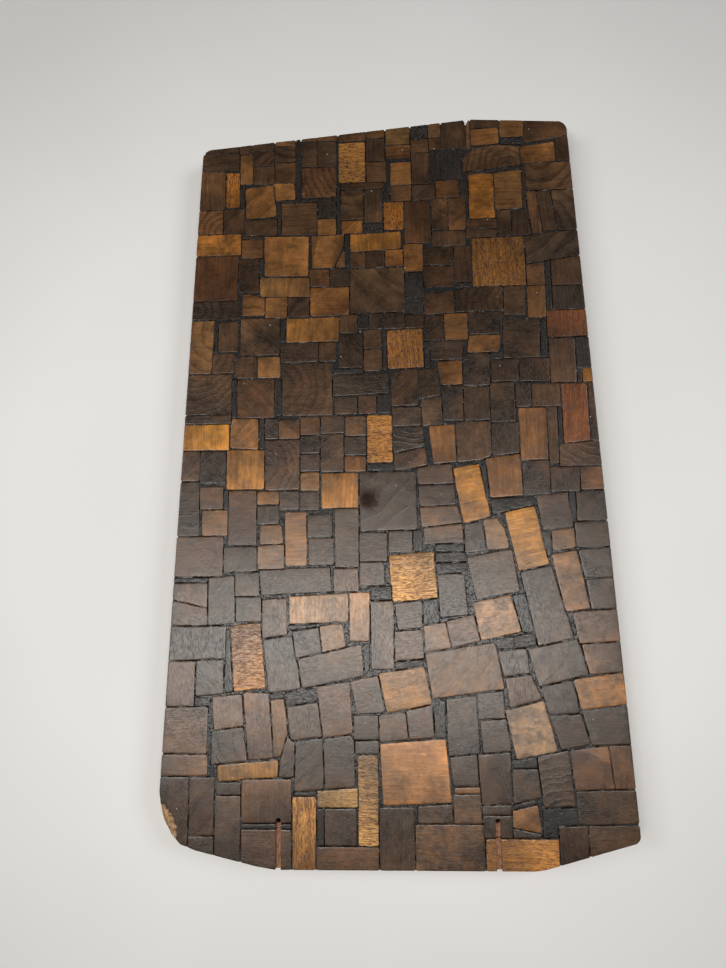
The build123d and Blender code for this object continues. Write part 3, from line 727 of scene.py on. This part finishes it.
def make_filler(blocks, outline_pts, material):
    """The black filler: a net of worn strips between the blocks, over a thin bed."""
    outer = divided(outline_pts, 1.2)
    shrink = outward(outer)
    outer = [p - v * 0.2 for p, v in zip(outer, shrink)]
    verts = list(outer)
    faces = [list(range(len(outer)))]
    more = []
    for block in blocks:
        loop = [Vector(p) for p in block["edge"]]
        tuck = outward(loop)
        others = [as_array(p) for p in block["near"]]
        lips = as_array([p + v * 0.4 for p, v in zip(loop, tuck)])
        clear = np.full(len(lips), 9.0)
        for other in others:
            clear = np.minimum(clear, far_from(lips, other))
        more += [Vector(p) for p, c in zip(lips, clear) if c > 1.1]
        first = len(verts)
        verts += [p - v * 0.12 for p, v in zip(loop, tuck)]
        faces.append(list(range(first, len(verts))))
    done = delaunay_2d_cdt(verts, [], faces, 1, 1e-4, True)
    points, tris, owners = done[0], done[2], done[5]
    net = [t for t, own in zip(tris, owners) if list(own) == [0]]
    rng = random.Random(77)
    for t in net:
        a, b, c = (points[i] for i in t)
        size = abs((b - a).cross(c - a)) / 2
        for _ in range(min(6, int(size / 0.9 + rng.random() * 0.5))):
            r1, r2 = rng.random(), rng.random()
            if r1 + r2 > 1:
                r1, r2 = 1 - r1, 1 - r2
            more.append(a + (b - a) * r1 + (c - a) * r2)
    done = delaunay_2d_cdt(verts + more, [], faces, 1, 1e-4, True)
    points, tris, owners = done[0], done[2], done[5]
    points, net = only_used(points, [t for t, own in zip(tris, owners) if list(own) == [0]])
    xy = as_array(points)
    rim = rim_order(net)
    border = {i for e in rim for i in e}
    lie = {}
    for a, b in rim:
        side = xy[b] - xy[a]
        lie[a] = (side[1] / np.hypot(*side), -side[0] / np.hypot(*side))
    z = np.empty(len(xy))
    marks = np.zeros((len(xy), 4))
    for i, (x, y) in enumerate(xy):
        rough = 0.28 * wobble(x, y, 1.7, 31) + 0.2 * wobble(x, y, 0.7, 47)
        if i in border:
            facing = abs(lie.get(i, (0, 0))[1])
            shrunk = wobble(x, y, 8.0, 71 + 30 * round(facing)) + 0.4 * wobble(x, y, 2.0, 13)
            z[i] = FILLER_TOP + 0.05 * rough - 9.0 * max(0.0, shrunk - 0.02)
            # Painted highlight: some border points get a pale mark, strongest where the joint runs
            # across the plaque, standing in for light caught on the filler's edge.
            highlight_noise = wobble(x, y, 9.0, 140)
            marks[i, 2] = max(0.0, min(1.0, 5 * (highlight_noise - 0.3))) * facing
        else:
            z[i] = FILLER_TOP - 0.03 + 0.12 * rough
        z[i] = max(z[i], 17.2)
        # The fourth mark grows as the filler sinks below its top; the material paints shade there.
        marks[i, 3] = min(1.0, max(0.0, (FILLER_TOP - 0.15 - z[i]) / 0.5))
        out = break_depth(x, y)
        if out > 0:
            z[i] = min(z[i], FACE - 0.6 - out * BREAK_FALL)
            marks[i, 0] = 1.0
        if channel_gap(x, y) < -0.05:
            z[i] = min(z[i], CHANNEL_FLOOR - 0.1)
            marks[i, 1] = 1.0
            if in_hole(x, y):
                z[i] = HOLE_FLOOR
    order, sides, feet = close_down(len(z), rim)
    sizes = [len(f) for f in feet]
    shell = sizes.index(max(sizes))
    outer_ids = set(feet[shell])
    low = [BOARD_TOP if len(xy) + k in outer_ids else BLOCK_FOOT for k in range(len(order))]
    every = [(x, y, h) for (x, y), h in zip(xy, z)]
    every += [(xy[i][0], xy[i][1], low[k]) for k, i in enumerate(order)]
    low_marks = marks[order] * 0
    obj = build_mesh(
        "filler_worn",
        every,
        net + sides + [tuple(f) for f in feet],
        {"marks": ("FLOAT_COLOR", np.concatenate([marks, low_marks]))},
    )
    obj.data.materials.append(material)
    shade(obj, 50)
    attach(obj, "root")
    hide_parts("filler_bed")
    return obj


def make_board(outline_pts, material):
    """The plywood board under the mosaic: plies stepping slightly at its edge, a worn flat back."""
    ring = divided(outline_pts, 1.6)
    out = outward(ring)
    rows = (
        (0.0, -0.55), (0.3, -0.12), (1.15, -0.02), (1.25, -0.16), (2.35, -0.14),
        (2.45, 0.0), (3.55, -0.02), (3.65, -0.17), (4.75, -0.15), (4.85, -0.01), (6.0, -0.05),
    )
    verts, faces = [], []
    n = len(ring)
    for k, (z, push) in enumerate(rows):
        for p, v in zip(ring, out):
            nick = 0.1 * wobble(p.x, p.y, 3.0, 60 + k) + 0.06 * wobble(p.x, p.y, 1.0, 80 + k)
            q = p + v * min(push + nick, 0.02)
            verts.append((q.x, q.y, z))
    for k in range(len(rows) - 1):
        for i in range(n):
            j = (i + 1) % n
            faces.append((k * n + i, k * n + j, (k + 1) * n + j, (k + 1) * n + i))
    faces.append(tuple(range((len(rows) - 1) * n, len(rows) * n)))
    back = [Vector(verts[i][:2]) for i in range(n)]
    loop = as_array(back)
    low, high = loop.min(0), loop.max(0)
    rng = random.Random(5)
    grid = np.array(
        [
            (low[0] + (i + rng.uniform(0.2, 0.8)) * 5, low[1] + (j + rng.uniform(0.2, 0.8)) * 5)
            for i in range(int((high[0] - low[0]) / 5) + 1)
            for j in range(int((high[1] - low[1]) / 5) + 1)
        ]
    )
    grid = grid[within(grid, loop) & (far_from(grid, loop) > 2)]
    done = delaunay_2d_cdt(
        back + [Vector(p) for p in grid], [], [list(range(n))], 1, 1e-5, True
    )
    place = {}
    for i, (p, orig) in enumerate(zip(done[0], done[3])):
        if orig and min(orig) < n:
            place[i] = min(orig)
        else:
            place[i] = len(verts)
            dip = 0.05 * wobble(p.x, p.y, 40, 3) + 0.03 * wobble(p.x, p.y, 9, 7)
            verts.append((p.x, p.y, max(dip + 0.05, 0.0)))
    for f in done[2]:
        faces.append(tuple(place[i] for i in reversed(f)))
    obj = build_mesh("board_worn", verts, faces, {})
    obj.data.materials.append(material)
    shade(obj, 35)
    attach(obj, "root")
    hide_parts("backing_board")


# ---------------------------------------------------------------- materials

class Nodes:
    """Small helper for wiring a node material."""

    def __init__(self, name):
        self.mat = bpy.data.materials.new(name)
        self.mat.use_nodes = True
        self.tree = self.mat.node_tree
        self.tree.nodes.clear()

    def add(self, kind, **settings):
        node = self.tree.nodes.new(kind)
        for k, v in settings.items():
            setattr(node, k, v)
        return node

    def feed(self, socket, value):
        if hasattr(value, "is_output"):
            self.tree.links.new(value, socket)
        elif isinstance(value, (tuple, list)) and len(value) == 3 and socket.type == "RGBA":
            socket.default_value = (*value, 1.0)
        else:
            socket.default_value = value

    def attribute(self, name, part="Color"):
        return self.add("ShaderNodeAttribute", attribute_name=name).outputs[part]

    def split(self, value):
        node = self.add("ShaderNodeSeparateXYZ")
        self.feed(node.inputs[0], value)
        return node.outputs

    def split_colour(self, value):
        node = self.add("ShaderNodeSeparateColor")
        self.feed(node.inputs[0], value)
        return node.outputs

    def join(self, x, y, z):
        node = self.add("ShaderNodeCombineXYZ")
        for k, v in enumerate((x, y, z)):
            self.feed(node.inputs[k], v)
        return node.outputs[0]

    def calc(self, op, a, b=0.0, c=0.0, clamp=False):
        node = self.add("ShaderNodeMath", operation=op, use_clamp=clamp)
        self.feed(node.inputs[0], a)
        self.feed(node.inputs[1], b)
        self.feed(node.inputs[2], c)
        return node.outputs[0]

    def vector(self, op, a, b):
        node = self.add("ShaderNodeVectorMath", operation=op)
        self.feed(node.inputs[0], a)
        self.feed(node.inputs[1], b)
        return node.outputs["Value" if op in ("LENGTH", "DISTANCE") else "Vector"]

    def noise(self, place, scale=1.0, detail=3.0, rough=0.55, warp=0.0):
        node = self.add("ShaderNodeTexNoise")
        self.feed(node.inputs["Vector"], place)
        self.feed(node.inputs["Scale"], scale)
        self.feed(node.inputs["Detail"], detail)
        self.feed(node.inputs["Roughness"], rough)
        self.feed(node.inputs["Distortion"], warp)
        return node.outputs[0]

    def span(self, value, low, high, to_low=0.0, to_high=1.0, smooth=True):
        node = self.add("ShaderNodeMapRange")
        node.interpolation_type = "SMOOTHSTEP" if smooth else "LINEAR"
        names = ("Value", "From Min", "From Max", "To Min", "To Max")
        for k, v in zip(names, (value, low, high, to_low, to_high)):
            self.feed(node.inputs[k], v)
        return node.outputs[0]

    def mix(self, share, a, b, how="MIX"):
        node = self.add("ShaderNodeMix", data_type="RGBA", blend_type=how)
        self.feed(node.inputs["Factor"], share)
        self.feed(node.inputs[6], a)
        self.feed(node.inputs[7], b)
        return node.outputs[2]

    def scaled(self, colour, amount):
        node = self.add("ShaderNodeVectorMath", operation="SCALE")
        self.feed(node.inputs[0], colour)
        self.feed(node.inputs["Scale"], amount)
        return node.outputs[0]

    def bump(self, height, distance, strength=1.0, under=None):
        node = self.add("ShaderNodeBump")
        self.feed(node.inputs["Height"], height)
        self.feed(node.inputs["Distance"], distance)
        self.feed(node.inputs["Strength"], strength)
        if under is not None:
            self.feed(node.inputs["Normal"], under)
        return node.outputs[0]

    def finish(self, colour, rough, normal=None, **more):
        shader = self.add("ShaderNodeBsdfPrincipled")
        self.feed(shader.inputs["Base Color"], colour)
        self.feed(shader.inputs["Roughness"], rough)
        if normal is not None:
            self.feed(shader.inputs["Normal"], normal)
        for k, v in more.items():
            self.feed(shader.inputs[k.replace("_", " ")], v)
        out = self.add("ShaderNodeOutputMaterial")
        self.tree.links.new(shader.outputs[0], out.inputs[0])
        return self.mat


def place_mm(g):
    """Place on the plaque in mm."""
    return g.scaled(g.add("ShaderNodeTexCoord").outputs["Object"], 1000.0)


def wood_material(name):
    g = Nodes(name)
    place = place_mm(g)
    grain = g.attribute("grain", "Vector")
    tint = g.attribute("tint")
    ring_on, streak_on, fleck_on = g.split_colour(g.attribute("blend"))[:3]
    mottle_on = g.attribute("blend", "Alpha")
    marks = g.attribute("marks")
    raw, cut, hole = g.split_colour(marks)[:3]
    inside = g.attribute("marks", "Alpha")
    px, py, gap = g.split(g.attribute("pith", "Vector"))
    x, y = g.split(place)[:2]

    # growth rings curving round the pith
    off = g.join(g.calc("SUBTRACT", x, px), g.calc("SUBTRACT", y, py), 0.0)
    radius = g.vector("LENGTH", off, (0, 0, 0))
    sway = g.noise(place, 0.07, 2.0)
    swirl = g.noise(place, 0.35, 2.0)
    radius = g.calc("MULTIPLY_ADD", sway, 9.0, radius)
    radius = g.calc("MULTIPLY_ADD", swirl, 0.8, radius)
    turn = g.calc("DIVIDE", radius, gap)
    uneven = g.noise(g.join(g.calc("MULTIPLY", turn, 0.35), px, 0.0), 1.0, 2.0)
    turn = g.calc("MULTIPLY_ADD", uneven, 1.6, turn)
    year = g.calc("FRACT", turn)
    late = g.calc("MULTIPLY", g.span(year, 0.35, 0.9), g.span(year, 0.93, 1.0, 1.0, 0.0))

    # long streaks, fine lines and pores along the grain
    streak = g.noise(g.vector("MULTIPLY", grain, (0.035, 0.55, 0.2)), 1.0, 4.0, 0.6)
    line = g.noise(g.vector("MULTIPLY", grain, (0.06, 2.4, 1.0)), 1.0, 3.0, 0.6)
    pore = g.noise(g.vector("MULTIPLY", grain, (0.34, 2.0, 1.0)), 1.0, 2.0, 0.5, 0.3)
    dash = g.span(pore, 0.52, 0.58)
    blot = g.noise(grain, 0.085, 3.0, 0.5)
    cloudy = g.noise(grain, 0.3, 3.0, 0.6, 0.4)
    speck = g.noise(place, 1.3, 2.0, 0.6)

    depth = g.calc("MULTIPLY", late, g.calc("MULTIPLY", ring_on, 0.75))
    colour = g.mix(depth, tint, g.vector("MULTIPLY", tint, (0.42, 0.36, 0.33)))
    dark = g.calc("MULTIPLY", g.span(streak, 0.42, 0.68), streak_on)
    darker = g.vector("MULTIPLY", colour, (0.42, 0.33, 0.28))
    colour = g.mix(g.calc("MULTIPLY", dark, 0.7), colour, darker)
    pale = g.calc("MULTIPLY", g.span(streak, 0.5, 0.3), streak_on)
    paler = g.vector("MULTIPLY", colour, (1.5, 1.5, 1.35))
    colour = g.mix(g.calc("MULTIPLY", pale, 0.45), colour, paler)
    lines = g.span(line, 0.3, 0.7, 1.28, 0.72, False)
    colour = g.scaled(colour, lines)
    dashed = g.vector("MULTIPLY", colour, (0.24, 0.14, 0.09))
    colour = g.mix(g.calc("MULTIPLY", dash, fleck_on), colour, dashed)
    cloud = g.calc("MULTIPLY_ADD", blot, 2.2, g.calc("MULTIPLY_ADD", cloudy, 1.2, -1.7))
    cloud = g.calc("MULTIPLY", cloud, mottle_on)
    colour = g.scaled(colour, g.calc("MAXIMUM", g.calc("ADD", cloud, 1.0), 0.4))
    glow = g.span(cloud, 0.0, 0.7, 0.0, 0.45)
    colour = g.mix(glow, colour, g.vector("MULTIPLY", colour, (1.2, 1.0, 0.75)))
    colour = g.scaled(colour, g.span(speck, 0.3, 0.7, 0.92, 1.08, False))

    # black worked into the edge, and a soft old stain
    smear = g.noise(place, 0.5, 3.0, 0.6)
    reach = g.calc("MULTIPLY_ADD", smear, 2.6, -1.15)
    grime = g.span(g.calc("SUBTRACT", inside, reach), -0.3, 0.45, 1.0, 0.0)
    colour = g.mix(g.calc("MULTIPLY", grime, 0.45), colour, (0.016, 0.011, 0.008))
    spot = g.vector("DISTANCE", place, (STAIN[0], STAIN[1], FACE))
    spot = g.calc("MULTIPLY_ADD", g.noise(place, 0.3, 4.0, 0.65), 11.0, spot)
    stain = g.span(spot, 7.5, 17.0)
    colour = g.mix(stain, (0.022, 0.009, 0.005), colour)

    # freshly broken wood, raw wood in the channels, shade in the holes
    fibre = g.noise(g.vector("MULTIPLY", place, (1.0, 0.3, 1.2)), 1.2, 4.0, 0.7)
    broken = g.mix(g.span(fibre, 0.35, 0.65), (0.17, 0.085, 0.038), (0.50, 0.33, 0.18))
    pale_speck_cells = g.add("ShaderNodeTexVoronoi")
    g.feed(pale_speck_cells.inputs["Vector"], place)
    g.feed(pale_speck_cells.inputs["Scale"], 0.22)
    near = g.span(pale_speck_cells.outputs["Distance"], 0.05, 0.1, 1.0, 0.0)
    rare = g.calc("GREATER_THAN", g.split_colour(pale_speck_cells.outputs["Color"])[0], 0.95)
    colour = g.mix(g.calc("MULTIPLY", near, rare), colour, (0.5, 0.48, 0.45))
    colour = g.mix(raw, colour, broken)
    reddish = g.mix(g.span(fibre, 0.35, 0.65), (0.16, 0.075, 0.045), (0.5, 0.27, 0.17))
    colour = g.mix(cut, colour, reddish)
    colour = g.mix(hole, colour, (0.006, 0.003, 0.002))

    rub = g.noise(place, 0.22, 3.0, 0.6)
    rough = g.span(rub, 0.3, 0.7, 0.22, 0.29, False)
    rough = g.calc("MULTIPLY_ADD", g.calc("SUBTRACT", speck, 0.5), 0.16, rough)
    edge = g.span(inside, 0.02, 0.3, 1.0, 0.0)
    rough = g.calc("MULTIPLY_ADD", edge, 0.3, rough)
    rough = g.calc("MULTIPLY_ADD", dash, 0.12, rough)
    bare = g.calc("MAXIMUM", raw, cut)
    rough = g.calc("MULTIPLY_ADD", bare, 0.4, rough)
    gloss = g.calc("MULTIPLY_ADD", bare, -0.4, 0.42 if name == "bog_oak" else 0.5)
    gloss = g.calc("MULTIPLY", gloss, g.span(stain, 0.0, 1.0, 0.15, 1.0))
    gloss = g.calc("MULTIPLY", gloss, g.span(edge, 0.0, 1.0, 1.0, 0.35))
    lined = g.calc("MULTIPLY", line, -0.7)
    relief = g.calc("MULTIPLY_ADD", dash, g.calc("MULTIPLY", fleck_on, -0.8), lined)
    relief = g.calc("MULTIPLY_ADD", late, g.calc("MULTIPLY", ring_on, 0.5), relief)
    relief = g.calc("MULTIPLY_ADD", fibre, g.calc("MULTIPLY", bare, 6.0), relief)
    relief = g.calc("MULTIPLY_ADD", speck, 0.5, relief)
    normal = g.bump(relief, 0.00008, 0.8)
    wave = g.noise(place, 0.12, 2.0)
    normal = g.bump(wave, 0.0002, 0.5, normal)
    return g.finish(colour, rough, normal, Specular_IOR_Level=gloss)


def filler_material():
    g = Nodes("filler")
    place = place_mm(g)
    raw, cut, painted_highlight = g.split_colour(g.attribute("marks"))[:3]
    lump = g.noise(place, 1.1, 4.0, 0.65)
    patch = g.noise(place, 0.09, 3.0)
    colour = g.mix(g.span(lump, 0.35, 0.7), (0.009, 0.0095, 0.0105), (0.021, 0.020, 0.020))
    colour = g.mix(g.span(patch, 0.45, 0.65, 0.0, 0.4), colour, (0.036, 0.024, 0.018))
    # Painted glints: rare pale specks on the filler stand in for light sparkling on it.
    pale_speck_cells = g.add("ShaderNodeTexVoronoi")
    g.feed(pale_speck_cells.inputs["Vector"], place)
    g.feed(pale_speck_cells.inputs["Scale"], 0.9)
    near = g.span(pale_speck_cells.outputs["Distance"], 0.10, 0.2, 1.0, 0.0)
    rare = g.calc("GREATER_THAN", g.split_colour(pale_speck_cells.outputs["Color"])[0], 0.95)
    colour = g.mix(g.calc("MULTIPLY", near, rare), colour, (0.34, 0.33, 0.31))
    # Painted highlight: pale streaks along the filler's edges, from the third mark.
    colour = g.mix(g.calc("MULTIPLY", painted_highlight, 0.35), colour, (0.30, 0.285, 0.25))
    colour = g.mix(raw, colour, (0.12, 0.06, 0.03))
    colour = g.mix(cut, colour, (0.07, 0.02, 0.012))
    vein = g.noise(place, 0.38, 4.0, 0.6, 0.6)
    crack_and_painted_shade = g.span(g.calc("ABSOLUTE", g.calc("SUBTRACT", vein, 0.5)), 0.0, 0.03, 1.0, 0.0)
    # Painted shade: the filler is darkened where it sinks into the joints, on top of its dark
    # cracks.
    crack_and_painted_shade = g.calc("MAXIMUM", crack_and_painted_shade, g.attribute("marks", "Alpha"))
    colour = g.mix(g.calc("MULTIPLY", crack_and_painted_shade, 0.8), colour, (0.005, 0.004, 0.004))
    rough = g.span(g.noise(place, 0.8, 3.0), 0.35, 0.65, 0.22, 0.34, False)
    relief = g.calc("MULTIPLY_ADD", crack_and_painted_shade, -2.0, lump)
    gloss = g.span(crack_and_painted_shade, 0.0, 1.0, 0.42, 0.06)
    return g.finish(colour, rough, g.bump(relief, 0.00008, 0.6), Specular_IOR_Level=gloss)


def board_material():
    g = Nodes("plywood")
    place = place_mm(g)
    z = g.split(place)[2]
    face = g.noise(g.vector("MULTIPLY", place, (0.55, 0.02, 0.3)), 1.0, 5.0, 0.6, 0.3)
    fine = g.noise(g.vector("MULTIPLY", place, (3.0, 0.12, 1.0)), 1.0, 3.0, 0.6)
    blot = g.noise(place, 0.02, 3.0)
    back = g.mix(g.span(face, 0.3, 0.7), (0.33, 0.20, 0.105), (0.19, 0.10, 0.048))
    back = g.scaled(back, g.span(fine, 0.3, 0.7, 1.12, 0.82, False))
    back = g.scaled(back, g.span(blot, 0.3, 0.7, 1.15, 0.8, False))
    ply = g.calc("MODULO", g.calc("FLOOR", g.calc("DIVIDE", g.calc("ADD", z, 1.2), 1.2)), 2.0)
    end = g.noise(g.vector("MULTIPLY", place, (0.9, 0.9, 3.0)), 1.0, 4.0, 0.7)
    edge = g.mix(ply, (0.12, 0.052, 0.024), (0.055, 0.024, 0.012))
    edge = g.scaled(edge, g.span(end, 0.3, 0.7, 1.4, 0.6, False))
    normal_z = g.split(g.add("ShaderNodeNewGeometry").outputs["Normal"])[2]
    colour = g.mix(g.span(normal_z, -0.5, -0.85, 0.0, 1.0), edge, back)
    rough = g.span(g.noise(place, 0.1, 4.0), 0.3, 0.7, 0.45, 0.62, False)
    relief = g.calc("ADD", g.calc("MULTIPLY", fine, 0.6), face)
    return g.finish(colour, rough, g.bump(relief, 0.00012, 0.8))


# ---------------------------------------------------------------- the plaque

outline_places, outline_tris = welded(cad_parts["backing_board"])
outline_pts = foot_loop(outline_places, islands(outline_places, outline_tris)[0])
outline = as_array(divided(outline_pts, 4.0))

blocks = block_outlines()
find_neighbours(blocks)
done = {}
for index, block in enumerate(blocks):
    node = block["node"]
    looks = LOOKS.get(node, "").split()
    place = done[node] = done.get(node, -1) + 1
    dress(block, looks[place] if place < len(looks) else "5V", index)

materials = {wood: wood_material(wood) for wood in WOODS}
make_wood_pieces(blocks, outline, materials)
make_filler(blocks, outline_pts, filler_material())
make_board(outline_pts, board_material())


# ---------------------------------------------------------------- studio

def studio_floor():
    g = Nodes("pale_floor")
    place = place_mm(g)
    soft = g.noise(place, 0.004, 2.0)
    fine = g.noise(place, 0.4, 3.0)
    colour = g.mix(g.span(soft, 0.3, 0.7), (0.74, 0.73, 0.715), (0.77, 0.762, 0.75))
    # Painted shade: the floor darkens with distance from a point near the plaque, standing in for
    # light falling off.
    away = g.vector("DISTANCE", place, (-18, -9, 0))
    colour = g.scaled(colour, g.span(away, 250, 450, 1.0, 0.82, False))
    mat = g.finish(colour, 0.55, g.bump(fine, 0.00005, 0.3))
    mesh = bpy.data.meshes.new("floor")
    s = 3.0
    mesh.from_pydata([(-s, -s, 0), (s, -s, 0), (s, s, 0), (-s, s, 0)], [], [(0, 1, 2, 3)])
    mesh.materials.append(mat)
    floor = bpy.data.objects.new("floor", mesh)
    bpy.context.scene.collection.objects.link(floor)


def area_light(name, place, aim, size_x, size_y, watts, colour, turn=0.0):
    light = bpy.data.lights.new(name, "AREA")
    light.shape = "RECTANGLE"
    light.size, light.size_y = size_x, size_y
    light.energy, light.color = watts, colour
    obj = bpy.data.objects.new(name, light)
    bpy.context.scene.collection.objects.link(obj)
    obj.location = place
    aimed = (Vector(aim) - Vector(place)).to_track_quat("-Z", "Y").to_matrix()
    spin = Matrix.Rotation(math.radians(turn), 3, "Z")
    obj.rotation_euler = (spin @ aimed).to_euler()


def camera():
    data = bpy.data.cameras.new("camera")
    data.lens = 27.04
    data.sensor_width = 36.0
    data.clip_start = 0.01
    obj = bpy.data.objects.new("camera", data)
    right = Vector((0.998555, -0.012200, -0.052336))
    up = Vector((0.019381, 0.990105, 0.138982))
    back = -Vector((-0.050123, 0.139796, -0.988911))
    turn = Matrix((right, up, back)).transposed().to_4x4()
    obj.matrix_world = Matrix.Translation((0.0068, -0.0781, 0.506)) @ turn
    bpy.context.scene.collection.objects.link(obj)
    bpy.context.scene.camera = obj


studio_floor()
area_light(
    "overhead", (-0.17, -0.22, 1.5), (-0.17, -0.22, 0), 1.4, 0.40, 17, (1.0, 0.965, 0.91), 3
)
area_light("window", (-1.45, 0.3, 1.5), (0, 0, 0), 0.8, 0.8, 9.5, (0.97, 1.0, 1.04))
area_light("fill", (1.6, 0.45, 1.6), (0, 0, 0), 0.9, 0.9, 14, (0.97, 1.0, 1.04))
world = bpy.data.worlds.new("studio")
world.use_nodes = True
world.node_tree.nodes["Background"].inputs[0].default_value = (0.95, 0.97, 1.0, 1.0)
world.node_tree.nodes["Background"].inputs[1].default_value = 0.05
bpy.context.scene.world = world
bpy.context.scene.view_settings.view_transform = "Standard"
camera()
